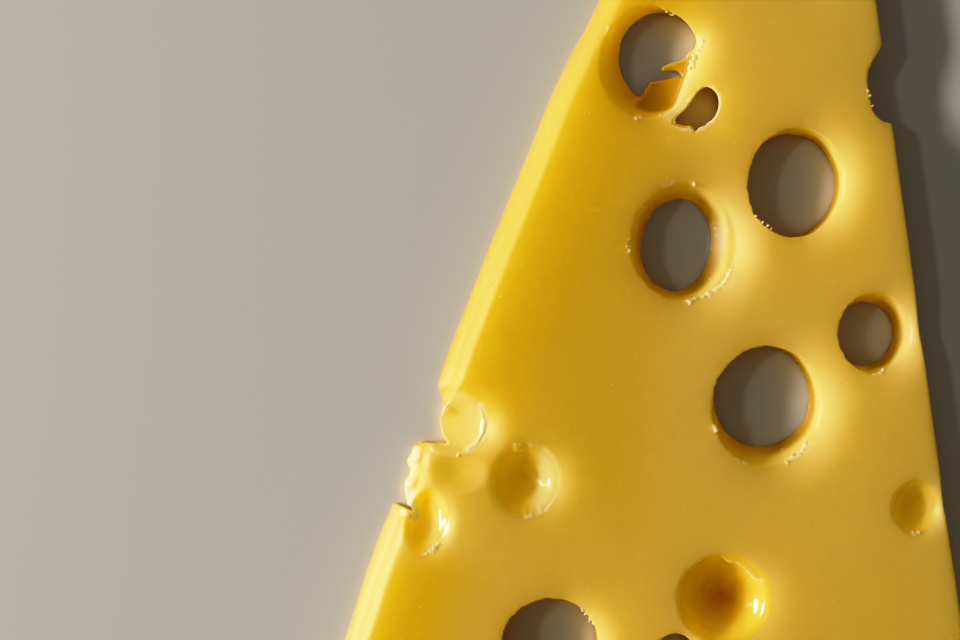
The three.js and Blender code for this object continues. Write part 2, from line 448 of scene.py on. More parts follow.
# Painted light: a strip a little way in from the lit left side is drawn a deeper, more saturated
# yellow, for light that enters through that side; given as distances in from the side where it comes
# and goes, and the stretch of that side without one, round the tears. Then where the cheese is drawn
# paler, which is painted light too.
STRIP_COMES = (0.5, 3.0)
STRIP_GOES = (6, 17)
STRIP_STOPS = (132, 142)
STRIP_STARTS_AGAIN = (154, 160)
PALER_ACROSS = (-13, -1)
PALER_ALONG = (136, 158)

LATTICE = 32  # a noise repeats after so many wavelengths


def smooth_step(low, high, value):
    """0 below low, 1 above high and a smooth change between."""
    share = np.clip((value - low) / (high - low), 0, 1)
    return share * share * (3 - 2 * share)


def noise(seed, wavelength, *axes):
    """Smooth noise from -1 to 1 of the given wavelength, over coordinates that broadcast together."""
    lattice = np.random.default_rng(seed).uniform(-1, 1, (LATTICE,) * len(axes)).astype(np.float32)
    cells = []
    shares = []
    for axis in axes:
        scaled = axis / wavelength
        cell = np.floor(scaled)
        share = (scaled - cell).astype(np.float32)
        cells.append(cell.astype(int) % LATTICE)
        shares.append(share * share * (3 - 2 * share))
    total = 0
    for corner in itertools.product((0, 1), repeat=len(axes)):
        weight = 1
        for share, far in zip(shares, corner):
            weight = weight * (share if far else 1 - share)
        index = tuple((cell + far) % LATTICE for cell, far in zip(cells, corner))
        total = total + weight * lattice[index]
    return total


def rounded_common(a, b, radius):
    """The common part of two solids, its edge rounded to the radius."""
    near = np.hypot(np.maximum(a + radius, 0), np.maximum(b + radius, 0))
    return np.minimum(-radius, np.maximum(a, b)) + near


def rounded_joined(a, b, radius):
    """Two solids joined with a fillet of the radius."""
    return -rounded_common(-a, -b, radius)


def polygon_distance(points, x, y):
    """Signed distance from places to a closed polygon, negative inside it."""
    nearest = np.full(np.broadcast(x, y).shape, np.inf)
    inside = np.zeros(nearest.shape, bool)
    for (x0, y0), (x1, y1) in zip(points, points[1:] + points[:1]):
        edge_x = x1 - x0
        edge_y = y1 - y0
        share = ((x - x0) * edge_x + (y - y0) * edge_y) / (edge_x**2 + edge_y**2)
        share = np.clip(share, 0, 1)
        nearest = np.minimum(nearest, (x - x0 - share * edge_x) ** 2 + (y - y0 - share * edge_y) ** 2)
        if y0 != y1:
            crosses = ((y0 <= y) != (y1 <= y)) & (x < x0 + (y - y0) * edge_x / edge_y)
            inside ^= crosses
    return np.where(inside, -1, 1) * np.sqrt(nearest)


def way_distance(points, x, y):
    """Distance from places to a way through the points."""
    nearest = np.inf
    for (x0, y0), (x1, y1) in zip(points, points[1:]):
        edge_x = x1 - x0
        edge_y = y1 - y0
        share = np.clip(((x - x0) * edge_x + (y - y0) * edge_y) / (edge_x**2 + edge_y**2), 0, 1)
        nearest = np.minimum(nearest, np.hypot(x - x0 - share * edge_x, y - y0 - share * edge_y))
    return nearest


def line_distance(line, x, y):
    """Signed distance from a line, positive on the left of one who walks along it."""
    (x0, y0), (x1, y1) = line
    return ((x - x0) * (y1 - y0) - (y - y0) * (x1 - x0)) / math.hypot(x1 - x0, y1 - y0)


def corner_common(left, right, across, along, radius):
    """The inside of the two long sides, with the tip between them rounded to the radius."""
    tip = radius / math.sin(HALF_ANGLE)
    down = along - tip
    beyond = down * math.cos(HALF_ANGLE) + np.abs(across) * math.sin(HALF_ANGLE) < 0
    return np.where(beyond, np.hypot(across, down), np.maximum(left, right) + radius) - radius


def smooth_outline(points, rounds=2):
    """Cuts the corners of a closed outline until it is smooth."""
    for _ in range(rounds):
        cut = []
        for (x0, y0), (x1, y1) in zip(points, points[1:] + points[:1]):
            cut.append((0.75 * x0 + 0.25 * x1, 0.75 * y0 + 0.25 * y1))
            cut.append((0.25 * x0 + 0.75 * x1, 0.25 * y0 + 0.75 * y1))
        points = cut
    return points


def along_side(table, along):
    """A value between the entries of a table of (along, value)."""
    places, values = zip(*table)
    return np.interp(along, places, values)


def left_side(across, along, height):
    """Distance out past the slanted left side."""
    inset = across + along * SIDE_SLOPE - along_side(LEFT_FOOT, along)
    slant = along_side(LEFT_SLANT, along) * height / THICKNESS
    return (slant - inset) * math.cos(HALF_ANGLE)


class Field:
    """The distance field of the slice on its grid, and the places drawn in the torn colour: where the
    cheese is torn, and along the wet lip, where it is a painted highlight.
    """

    def __init__(self):
        half_width = WHEEL_RADIUS * math.sin(HALF_ANGLE) + MARGIN
        self.across = np.arange(-half_width, half_width, STEP, np.float32)
        self.along = np.arange(FIRST_ALONG, WHEEL_RADIUS + MARGIN, STEP, np.float32)
        self.height = np.arange(-MARGIN, THICKNESS + MARGIN, STEP, np.float32)
        self.top = top_height(self.across[:, None], self.along[None, :])
        self.values = self.plain_slice()
        self.torn = []  # (across, along, height, reach)

    def plain_slice(self):
        """The slice before its eyes are cut, one level after another."""
        across = self.across[:, None]
        along = self.along[None, :]
        right = (across - along * SIDE_SLOPE) * math.cos(HALF_ANGLE)
        end = np.hypot(across, along) - WHEEL_RADIUS
        waver = knife_waver(across, along) + torn_tongue(across, along)
        nearness = 1 - smooth_step(0, LIT_EDGE_REACH, -left_side(across, along, TOP))
        lit = nearness * smooth_step(*LIT_EDGE_GROWS, along)
        lit = lit * (1 - TONGUE_SHARPER * tongue_share(along))
        round_top = TOP_EDGE_ROUND + (LIT_EDGE_ROUND - TOP_EDGE_ROUND) * lit
        levels = []
        for height in self.height:
            left = left_side(across, along, height)
            sides = corner_common(left, right, across, along, TIP_RADIUS)
            outline = rounded_common(sides, end, CORNER_RADIUS) + waver
            capped = rounded_common(outline, height - self.top, round_top)
            levels.append(rounded_common(capped, -height + 0 * across, FOOT_ROUND))
        return np.stack(levels, axis=2).astype(np.float32)

    def window(self, across, along, reach_across, reach_along):
        """The slice of the grid round a place, with its coordinates."""
        first = np.searchsorted(self.across, [across - reach_across, across + reach_across])
        second = np.searchsorted(self.along, [along - reach_along, along + reach_along])
        part = (slice(*first), slice(*second), slice(None))
        x = self.across[part[0], None, None]
        y = self.along[None, part[1], None]
        z = self.height[None, None, :]
        return part, x, y, z

    def top_at(self, across, along):
        """The height of the top at a place."""
        first = np.searchsorted(self.across, across)
        second = np.searchsorted(self.along, along)
        return float(self.top[first, second])

    def cut(self, part, cutter, radius):
        """Cuts a solid away from a window and rounds the edge."""
        self.values[part] = rounded_common(self.values[part], -cutter, radius)

    def add(self, part, piece, radius):
        """Joins a piece to a window with a fillet."""
        self.values[part] = rounded_joined(self.values[part], piece, radius)


def sag(eye, across, along):
    """How far the top sags beside the right of an eye's rim."""
    right = across - eye["across"]
    down = along - eye["along"]
    half_width, half_length = eye["rim"]
    radius = (half_width + half_length) / 2
    away = (np.hypot(right / half_width, down / half_length) - 1) * radius
    if "edge" in eye:
        away = np.maximum(away, line_distance(eye["edge"], across, along))
    away = np.maximum(away, -RIM_BELOW)
    rightness = (1 + right / np.maximum(np.hypot(right, down), half_width)) / 2
    width = LIP_WIDTH * radius
    lip = LIP_SLOPE * width / 2 * np.maximum(1 - away / width, 0) ** 2
    return eye.get("sag", 1) * rightness**2 * (lip + WIDE_SAG * np.exp(-away / WIDE_SAG_REACH))


def top_height(across, along):
    """The height of the cut top, which is never quite flat."""
    broad = 0.05 * noise(3, 31, across, along)
    middling = 0.016 * noise(4, 9, across, along)
    inset = np.maximum(-left_side(across, along, TOP), 0)
    falling = np.exp(-inset / SHOULDER_REACH) + BROW_DROP * np.exp(-inset / BROW_REACH)
    top = TOP + broad + middling - along_side(SHOULDER_DROP, along) * falling
    for eye in EYES:
        top = top - sag(eye, across, along)
    dip = np.hypot(across - TORN_DIP[0], along - TORN_DIP[1]) / TORN_DIP_REACH
    return top - TORN_DIP_DEPTH * np.exp(-(dip**2))


def knife_waver(across, along):
    """How far the sides wander inwards."""
    return KNIFE_WAVER * (1 + 0.75 * noise(5, 14, across, along) + 0.25 * noise(6, 3, across, along))


def tongue_share(along):
    """1 beside the tongue between the two tears."""
    return smooth_step(141, 143.5, along) * (1 - smooth_step(147, 149.5, along))


def torn_tongue(across, along):
    """How far the torn side of the tongue is broken away."""
    inset = across + along * SIDE_SLOPE
    near = 1 - smooth_step(3, 6, inset)
    slanting = along + 0.7 * across
    uneven = 0.4 * noise(8, 1.7, slanting, inset) + 0.2 * noise(9, 0.7, slanting, inset)
    return tongue_share(along) * near * uneven


def bubble(eye):
    """The middle height and radius of an eye's bubble before it is stretched."""
    rim_radius = sum(eye["rim"]) / 2
    thickness = THICKNESS / eye.get("stretch", 1)
    if "depth" in eye:
        radius = (rim_radius**2 + eye["depth"] ** 2) / (2 * eye["depth"])
        return thickness - eye["depth"] + radius, radius
    floor_radius = rim_radius * eye["floor"]
    middle = (rim_radius**2 - floor_radius**2 + thickness**2) / (2 * thickness)
    return middle, math.hypot(floor_radius, middle)


def eye_distance(eye, x, y, z):
    """Distance to an eye's wall, negative inside the eye, which sags with the top above it."""
    z = z * (1 + sag(eye, x, y) / THICKNESS)
    half_width, half_length = eye["rim"]
    rim_radius = (half_width + half_length) / 2
    stretch = eye.get("stretch", 1)
    middle, radius = bubble(eye)
    lean_across, lean_along = eye.get("lean", (0, 0))
    below = (THICKNESS - z) / THICKNESS
    right = (x - eye["across"] - lean_across * below) / (1 - eye.get("squeeze", 0) * below)
    down = y - eye["along"] - lean_along * below
    if "bowl" in eye:
        floor = eye.get("floor", 0)
        depth = eye.get("depth", THICKNESS)
        share = np.sqrt((right / half_width) ** 2 + (down / half_length) ** 2 + BOWL_BOTTOM**2)
        share = (share - floor) / (1 - floor)
        wall = THICKNESS - depth * (1 - np.sign(share) * np.abs(share) ** eye["bowl"])
        steep = eye["bowl"] * depth / rim_radius / (1 - floor) * np.abs(share) ** (eye["bowl"] - 1)
        return (wall - z) / np.sqrt(1 + steep**2)
    up = z - middle * stretch
    sizes = (radius * half_width / rim_radius, radius * half_length / rim_radius, radius * stretch)
    scaled = np.sqrt((right / sizes[0]) ** 2 + (down / sizes[1]) ** 2 + (up / sizes[2]) ** 2)
    steep = np.sqrt(
        (right / sizes[0] ** 2) ** 2 + (down / sizes[1] ** 2) ** 2 + (up / sizes[2] ** 2) ** 2
    )
    distance = scaled * (scaled - 1) / np.maximum(steep, 1e-6)
    if "edge" in eye:
        distance = rounded_common(distance, line_distance(eye["edge"], x, y) + 0 * z, eye["edge_round"])
    return distance


def rim_softness(eye, x, y, z):
    """The radius of the rim, softer on the right and crisp in the underside."""
    right = x - eye["across"]
    share = (1 + right / np.maximum(np.hypot(right, y - eye["along"]), 1e-3)) / 2
    soft = eye["soft"][0] + (eye["soft"][1] - eye["soft"][0]) * share**1.5
    return FOOT_ROUND + (soft - FOOT_ROUND) * smooth_step(0.5, 1.8, z)


def rim_torn(eye, x, y):
    """How torn the rim is beside its rows of crumbs, from 0 to 1."""
    half_width, half_length = eye["rim"]
    degrees = np.degrees(np.arctan2((eye["along"] - y) / half_length, (x - eye["across"]) / half_width))
    torn = 0 * degrees
    for middle, spread, _, _ in eye.get("crumbs", []):
        away = np.abs((degrees - middle + 180) % 360 - 180)
        torn = np.maximum(torn, 1 - smooth_step(spread, spread + 6, away))
    return torn


def ripples(eye, x, y, seed):
    """How far the fine wrinkles that run round an eye's wall stand out."""
    half_width, half_length = eye["rim"]
    right = (x - eye["across"]) / half_width
    down = (y - eye["along"]) / half_length
    outward = np.hypot(right, down) * half_width
    around = np.arctan2(down, right) * half_width
    return 0.045 * noise(seed, 0.6, outward, around / 6)


def cut_eye(field, eye, seed):
    """Cuts one eye. Its rim is ragged where it is crisp, and its wall faintly wrinkled."""
    reach = max(eye["rim"]) + 4
    part, x, y, z = field.window(eye["across"], eye["along"], reach, reach)
    torn = rim_torn(eye, x, y)
    soft = rim_softness(eye, x, y, z) * (1 - 0.75 * torn) + 0.06 * torn
    uneven = 0.12 * noise(seed, 6.3, x, y) + 0.05 * noise(seed + 1, 2.4, x, y)
    wrinkled = 0.02 * noise(seed + 5, 0.9, x, y, z) + ripples(eye, x, y, seed + 6)
    wrinkled = wrinkled * eye.get("gloss_and_glow", DRY_WALL)[1]
    ragged = 0.11 * noise(seed + 2, 1.2, x, y, z * 0.7) + 0.12 * noise(seed + 3, 0.5, x, y, z)
    near_top = smooth_step(TOP - 1.0, TOP - 0.3, z) * (np.clip(1.1 - 1.4 * soft, 0, 1) + torn)
    near_foot = 0.04 * noise(seed + 4, 0.8, x, y, z) * (1 - smooth_step(0.1, 0.6, z))
    distance = eye_distance(eye, x, y, z) + uneven + wrinkled
    field.cut(part, distance + ragged * near_top + near_foot, soft)


def film_distance(x, y, z):
    """The torn film in the largest eye: a thin curved sheet inside the outline of its tear."""
    uneven = 0.12 * noise(41, 0.9, x, y) + 0.10 * noise(42, 0.4, x, y)
    outline = polygon_distance(FILM, x, y) + uneven
    slit = polygon_distance(FILM_SLIT, x, y) + 0.6 * uneven
    spread = (x - FILM_LOWEST[0]) ** 2 + (y - FILM_LOWEST[1]) ** 2
    middle = FILM_HEIGHT + FILM_RISE * spread + 0.12 * noise(43, 2.5, x, y)
    sheet = np.abs(z - middle) - FILM_HALF_THICKNESS
    return rounded_common(np.maximum(outline, -slit), sheet, 0.2)


def hang_film(field):
    """The film, cut to the eye's wall, which it grows from."""
    part, x, y, z = field.window(TORN_EYE["across"], TORN_EYE["along"], FILM_WINDOW, FILM_WINDOW)
    near_eye = eye_distance(TORN_EYE, x, y, z) - 1.0
    field.add(part, np.maximum(film_distance(x, y, z), near_eye), 0.6)


def cut_kidney(field):
    """The kidney-shaped eye, which is ragged at its low side."""
    part, x, y, z = field.window(*KIDNEY_MIDDLE, KIDNEY_WINDOW, KIDNEY_WINDOW)
    low_side = smooth_step(90.5, 92, y)
    uneven = 0.05 * noise(51, 1.1, x, y, z) + low_side * 0.45 * noise(52, 0.6, x, y, z * 0.3)
    below = (TOP - z) / TOP
    walls = polygon_distance(smooth_outline(KIDNEY), x - KIDNEY_LEAN[0] * below, y - KIDNEY_LEAN[1] * below)
    field.cut(part, walls + uneven, 0.16)


def hang_flap(field):
    """The thin ragged skin that overhangs the deep eye and sags towards its edge."""
    part, x, y, z = field.window(*FLAP_MIDDLE, *FLAP_WINDOW)
    outline = polygon_distance(FLAP, x, y) + 0.14 * noise(55, 0.7, x, y)
    top = field.top[part[0], part[1], None] - 0.12 - 0.25 * smooth_step(-2.0, 0, outline)
    sheet = np.abs(z - top + FLAP_HALF_THICKNESS) - FLAP_HALF_THICKNESS
    field.add(part, rounded_common(outline + 0 * z, sheet, 0.15), 0.25)


def cut_tear(field, tear, torn_places, seed):
    """Cuts one tear in the left side, and marks the places in it that show torn cheese."""
    points = [(inset - along * SIDE_SLOPE, along) for inset, along in tear]
    middle_across = sum(point[0] for point in points) / len(points)
    middle_along = sum(point[1] for point in points) / len(points)
    part, x, y, z = field.window(middle_across, middle_along, TEAR_WINDOW, TEAR_WINDOW)
    uneven = 0.12 * noise(seed, 1.2, x, y, z) + 0.09 * noise(seed + 1, 0.45, x, y, z)
    field.cut(part, polygon_distance(points, x, y) + uneven, 0.2)
    field.torn += [(across, along, TOP / 2, 0.8) for across, along in points[torn_places]]


def rim_place(eye, degrees, inward):
    """A place on an eye's rim in the top, a little way in from it."""
    turn = math.radians(degrees)
    right = eye["rim"][0] - inward
    length = eye["rim"][1] - inward
    return eye["across"] + right * math.cos(turn), eye["along"] - length * math.sin(turn)


def crumb_places(draw):
    """Every torn crumb as (across, along, size)."""
    crumbs = RIDGE_CRUMBS + SIDE_CRUMBS
    for eye in EYES:
        for middle, spread, count, size in eye.get("crumbs", []):
            for degrees in np.linspace(middle - spread, middle + spread, count):
                turn = degrees + draw.uniform(-2, 2)
                across, along = rim_place(eye, turn, draw.uniform(-0.3, 0.2))
                crumbs.append((across, along, size * draw.uniform(0.3, 1.0)))
    return crumbs


def mark_torn_line(field, line, reach, draw):
    """Marks the cheese as torn beside a line, more in some places than in others."""
    for (x0, y0), (x1, y1) in zip(line, line[1:]):
        for share in np.arange(0, 1, 0.2 / math.hypot(x1 - x0, y1 - y0)):
            across = x0 + share * (x1 - x0) + draw.uniform(-0.1, 0.1)
            along = y0 + share * (y1 - y0) + draw.uniform(-0.1, 0.1)
            field.torn.append((across, along, field.top_at(across, along), reach * draw.uniform(0.3, 1.2)))


def mark_torn_rims(field, draw):
    """Marks the rims beside their rows of crumbs."""
    for eye in EYES:
        for middle, spread, _, size in eye.get("crumbs", []):
            turns = np.arange(middle - spread, middle + spread + 0.1, 3)
            line = [rim_place(eye, degrees, draw.uniform(-0.1, 0.1)) for degrees in turns]
            mark_torn_line(field, line, 0.8 * size, draw)


def add_wet_lip(field):
    """The thin lip of skin, which follows the wall that it hangs on."""
    middle_across, middle_along = WET_LIP[len(WET_LIP) // 2]
    part, x, y, z = field.window(middle_across, middle_along, 4, 5)
    wall = np.where(field.values[part] < 0, z, 0).max(axis=2, keepdims=True)
    away = way_distance(WET_LIP, x, y) + 0.08 * noise(81, 0.8, x, y)
    radius = WET_LIP_RADIUS * (0.4 + 0.6 * smooth_step(*WET_LIP_THICKENS, y))
    field.add(part, np.sqrt(away**2 + (z - wall) ** 2) - radius, 0.1)


def add_crumb(field, across, along, size, seed):
    """A small torn lump on the top, longer one way than the other."""
    draw = np.random.default_rng(seed)
    turn = draw.uniform(0, math.pi)
    longer = draw.uniform(1.0, 1.9)
    reach = 3 * size
    part, x, y, z = field.window(across, along, reach, reach)
    height = field.top_at(across, along) - 0.15 * size
    uneven = 0.6 * size * noise(seed, 0.8 * size, x, y, z)
    length = ((x - across) * math.cos(turn) + (y - along) * math.sin(turn)) / longer
    width = (y - along) * math.cos(turn) - (x - across) * math.sin(turn)
    lump = np.sqrt(length**2 + width**2 + 1.3 * (z - height) ** 2) - size
    field.add(part, lump + uneven, 0.1)
    field.torn.append((across, along, height, 1.2 * size))


def cheese_field():
    """The whole slice."""
    field = Field()
    for number, eye in enumerate(EYES):
        cut_eye(field, eye, 100 + 10 * number)
    cut_eye(field, TONGUE_DIMPLE, 400)
    hang_film(field)
    cut_kidney(field)
    hang_flap(field)
    cut_tear(field, UPPER_TEAR, slice(1, 5), 61)
    cut_tear(field, LOWER_TEAR, slice(2, -1), 71)
    add_wet_lip(field)
    draw = np.random.default_rng(7)
    # Painted highlight: the wet lip is drawn in the torn colour.
    mark_torn_line(field, WET_LIP, 0.45, draw)
    for number, (across, along, size) in enumerate(crumb_places(draw)):
        add_crumb(field, across, along, size, 500 + number)
    mark_torn_rims(field, draw)
    mark_torn_line(field, smooth_outline(KIDNEY), 0.3, draw)
    mark_torn_line(field, FLAP_EDGE, 0.4, draw)
    field.torn += [(across, along, TONGUE_FACE_HEIGHT, TONGUE_FACE_REACH) for across, along in TONGUE_FACE]
    return field


def largest_body(count, faces):
    """True for each vertex of the largest connected body."""
    starts = np.concatenate([face.ravel() for face in faces])
    ends = np.concatenate([np.roll(face, -1, axis=1).ravel() for face in faces])
    label = np.arange(count)
    while True:
        lower = np.minimum(label[starts], label[ends])
        merged = label.copy()
        np.minimum.at(merged, starts, lower)
        np.minimum.at(merged, ends, lower)
        merged = merged[merged]
        if np.array_equal(merged, label):
            break
        label = merged
    return label == np.bincount(label).argmax()


def frame_place(across, along, height):
    """A place on the slice, or many of them, in the frame, in metres."""
    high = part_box(NODE)[1]
    x = high.x + (across - CORNER_ACROSS) * MM
    y = high.y - (along - TIP_ALONG) * MM
    return x, y, height * MM


def torn_share(field, across, along, height):
    """1 at places where the cheese is torn and along the wet lip, where that colour is a painted highlight,
    and 0 where it is cut or grown.
    """
    share = np.zeros(len(across))
    for place_across, place_along, place_height, reach in field.torn:
        near = np.flatnonzero(np.abs(across - place_across) < 2 * reach)
        near = near[np.abs(along[near] - place_along) < 2 * reach]
        away = np.sqrt(
            (across[near] - place_across) ** 2
            + (along[near] - place_along) ** 2
            + (height[near] - place_height) ** 2
        )
        share[near] = np.maximum(share[near], 1 - smooth_step(0.8 * reach, 1.5 * reach, away))
    return share


def wall_share(eyes, quality, usual, across, along, height):
    """A quality of the eye whose wall a place is on, from its left and right ones or the usual pair."""
    share = np.zeros(len(across))
    for eye in eyes:
        reach = max(eye["rim"]) + 1
        near = np.flatnonzero(np.abs(across - eye["across"]) < reach)
        near = near[np.abs(along[near] - eye["along"]) < reach]
        distance = np.abs(eye_distance(eye, across[near], along[near], height[near]))
        wall = 1 - smooth_step(*WALL_ENDS, distance)
        wall = wall * (1 - smooth_step(TOP - 0.5, TOP, height[near]))
        left, right = eye.get(quality, usual)
        rightness = smooth_step(*RIGHT_STARTS, (across[near] - eye["across"]) / eye["rim"][0])
        share[near] = np.maximum(share[near], (left + (right - left) * rightness) * wall)
    return share


def lip_sheen_share(across, along):
    """Painted sheen: how pale the sagging lips beside the eyes are drawn."""
    fallen = sum(sag(eye, across, along) for eye in EYES)
    return LIP_SHEEN * np.clip(fallen / LIP_FALL, 0, 1)


def film_share(across, along, height):
    """1 on the torn film in the largest eye."""
    inside = 1 - smooth_step(-0.6, 0.2, polygon_distance(FILM, across, along))
    film = inside * (1 - smooth_step(0.3, 0.9, eye_distance(TORN_EYE, across, along, height)))
    return film * (1 - smooth_step(*FILM_ENDS, height))


def foot_bounce_share(across, along, height):
    """Painted reflected light: how deep and red the colour is drawn towards the foot of the open eyes, for
    warm light thrown up into their shade from beneath.
    """
    walls = wall_share(OPEN_EYES, "foot_bounce", FOOT_BOUNCE, across, along, height)
    return walls * (1 - smooth_step(*FOOT_BOUNCE_ENDS, height))


def shade_share(across, along, height):
    """Painted shadow: how dark the narrow band at the very foot of the open eyes and the torn film are
    drawn.
    """
    bands = wall_share(OPEN_EYES, "shade", FOOT_SHADE, across, along, height)
    bands = bands * (1 - smooth_step(*FOOT_SHADE_ENDS, height))
    return np.maximum(bands, FILM_SHADE * film_share(across, along, height))


def ridge_share(across, along):
    """How pale the torn ridge beside the largest eye looks."""
    return RIDGE_PALE * (1 - smooth_step(0.3, RIDGE_REACH, way_distance(RIDGE, across, along)))


def thin_shade_share(across, along, height):
    """Painted shade: how brown the cheese is drawn where it is thin, at the deep eye's bottom and in the
    torn film.
    """
    away = np.hypot(across - THIN_BOTTOM[0], along - THIN_BOTTOM[1])
    bottom = np.exp(-((away / THIN_REACH) ** 2)) * (1 - smooth_step(*THIN_ENDS, height))
    return np.maximum(bottom, FILM_BROWN * film_share(across, along, height))


def side_glow_share(across, along):
    """Painted light: 1 in a strip a little way in from the left side, drawn deeper in colour for light that
    enters through that lit side.
    """
    inset = -left_side(across, along, TOP)
    share = smooth_step(*STRIP_COMES, inset) * (1 - smooth_step(*STRIP_GOES, inset))
    torn_stretch = smooth_step(*STRIP_STOPS, along) * (1 - smooth_step(*STRIP_STARTS_AGAIN, along))
    return share * (1 - torn_stretch)


def painted_light_pale_share(across, along):
    """Painted light: 1 where the cheese is drawn paler for brighter light, down the slice's middle and
    towards its outer end.
    """
    return np.maximum(smooth_step(*PALER_ACROSS, across), smooth_step(*PALER_ALONG, along))


def sheen_and_ridge_share(across, along, height):
    """How far the cheese is drawn in the torn colour without being torn: a painted sheen on the eye walls
    and the sagging lips, and the torn ridge.
    """
    walls = wall_share(EYES, "pale", PLAIN_WALL, across, along, height)
    ridge = ridge_share(across, along)
    lips = lip_sheen_share(across, along)
    return np.maximum.reduce([walls, ridge, lips])


def mesh_of(field, name):
    """The field's surface as a mesh in the frame, in metres."""
    grid = openvdb.FloatGrid(BAND)
    grid.copyFromArray(np.clip(field.values, -BAND, BAND))
    points, triangles, quads = grid.convertToPolygons(0.0, ADAPTIVITY)
    keep = largest_body(len(points), [triangles, quads])
    number = np.cumsum(keep) - 1
    triangles = number[triangles[keep[triangles[:, 0]]]]
    quads = number[quads[keep[quads[:, 0]]]]
    across = field.across[0] + points[keep, 0] * STEP
    along = field.along[0] + points[keep, 1] * STEP
    height = np.clip(field.height[0] + points[keep, 2] * STEP, 0, THICKNESS)
    mesh = bpy.data.meshes.new(name)
    places = np.stack(frame_place(across, along, height), axis=1)
    mesh.from_pydata(places, [], triangles.tolist() + quads.tolist())
    mesh.shade_smooth()
    shares = {
        "torn": torn_share(field, across, along, height),
        "gloss_and_glow": wall_share(EYES, "gloss_and_glow", DRY_WALL, across, along, height),
        "side_glow": side_glow_share(across, along),
        "pale": painted_light_pale_share(across, along),
        "sheen_and_ridge": sheen_and_ridge_share(across, along, height),
        "thin_shade": thin_shade_share(across, along, height),
        "foot_bounce": foot_bounce_share(across, along, height),
        "shade": shade_share(across, along, height),
    }
    for attribute, values in shares.items():
        mesh.attributes.new(attribute, "FLOAT", "POINT").data.foreach_set("value", values)
    return mesh


class Nodes:
    """Builds the nodes of one material."""

    def __init__(self, name):
        self.material = bpy.data.materials.new(name)
        self.material.use_nodes = True
        self.tree = self.material.node_tree
        self.shader = self.tree.nodes["Principled BSDF"]
        self.place = self.tree.nodes.new("ShaderNodeTexCoord").outputs["Object"]

    def link(self, source, node, socket):
        if hasattr(source, "links"):
            self.tree.links.new(source, node.inputs[socket])
        else:
            node.inputs[socket].default_value = source

    def noise(self, wavelength, detail=2.0):
        """Noise from 0 to 1 over the given wavelength in millimetres."""
        node = self.tree.nodes.new("ShaderNodeTexNoise")
        self.link(self.place, node, "Vector")
        node.inputs["Scale"].default_value = 1 / (wavelength * MM)
        node.inputs["Detail"].default_value = detail
        return node.outputs["Fac"]

    def specks(self, spacing, size):
        """1 in the middle of scattered specks, of the given spacing and size in millimetres."""
        node = self.tree.nodes.new("ShaderNodeTexVoronoi")
        self.link(self.place, node, "Vector")
        node.inputs["Scale"].default_value = 1 / (spacing * MM)
        return self.ramp(node.outputs["Distance"], size / spacing, 0.4 * size / spacing, 0, 1)

    def attribute(self, name):
        node = self.tree.nodes.new("ShaderNodeAttribute")
        node.attribute_name = name
        return node.outputs["Fac"]

    def ramp(self, value, low, high, from_value, to_value):
        """A value carried from one range to another, and held at its ends."""
        node = self.tree.nodes.new("ShaderNodeMapRange")
        self.link(value, node, "Value")
        ends = {"From Min": low, "From Max": high, "To Min": from_value, "To Max": to_value}
        for socket, number in ends.items():
            node.inputs[socket].default_value = number
        return node.outputs["Result"]

    def maths(self, operation, first, second):
        node = self.tree.nodes.new("ShaderNodeMath")
        node.operation = operation
        self.link(first, node, 0)
        self.link(second, node, 1)
        return node.outputs[0]

    def mix(self, share, first, second):
        """A mix of two colours."""
        node = self.tree.nodes.new("ShaderNodeMix")
        node.data_type = "RGBA"
        self.link(share, node, "Factor")
        for colour, socket in ((first, "A_Color"), (second, "B_Color")):
            target = next(i for i in node.inputs if i.identifier == socket)
            if hasattr(colour, "links"):
                self.tree.links.new(colour, target)
            else:
                target.default_value = (*colour, 1)
        return next(o for o in node.outputs if o.identifier == "Result_Color")

    def bump(self, height, depth, normal=None):
        """Relief of the given depth in millimetres."""
        node = self.tree.nodes.new("ShaderNodeBump")
        node.inputs["Distance"].default_value = depth * MM
        self.link(height, node, "Height")
        if normal is not None:
            self.link(normal, node, "Normal")
        return node.outputs["Normal"]


# The cheese. Wavelengths, spacings, rises and reaches are in millimetres.
BODY_COLOUR = (0.87, 0.545, 0.08)
# paler colour, for painted light and for a tone that differs at random
PALE_COLOUR = (0.93, 0.64, 0.17)
# painted light: the deeper yellow where light enters through the lit left side
SIDE_GLOW_COLOUR = (0.91, 0.56, 0.045)
# painted light: a brighter colour on the eye walls, for light that passes through the cheese into their
# shade
WALL_GLOW_COLOUR = (0.97, 0.61, 0.08)
# painted reflected light: the redder colour at the foot of the open eyes
BOUNCE_COLOUR = (0.84, 0.42, 0.03)
# the colour of torn cheese, also used for the painted sheen on eye walls and lips and a painted highlight
# along the wet lip
TORN_COLOUR = (0.98, 0.78, 0.38)
SPECK_COLOUR = (0.96, 0.74, 0.34)
# painted shade: brown at the thin bottom of the deep eye and on the film
THIN_SHADE_COLOUR = (0.66, 0.30, 0.02)
SHADE_COLOUR = (0.42, 0.23, 0.01)
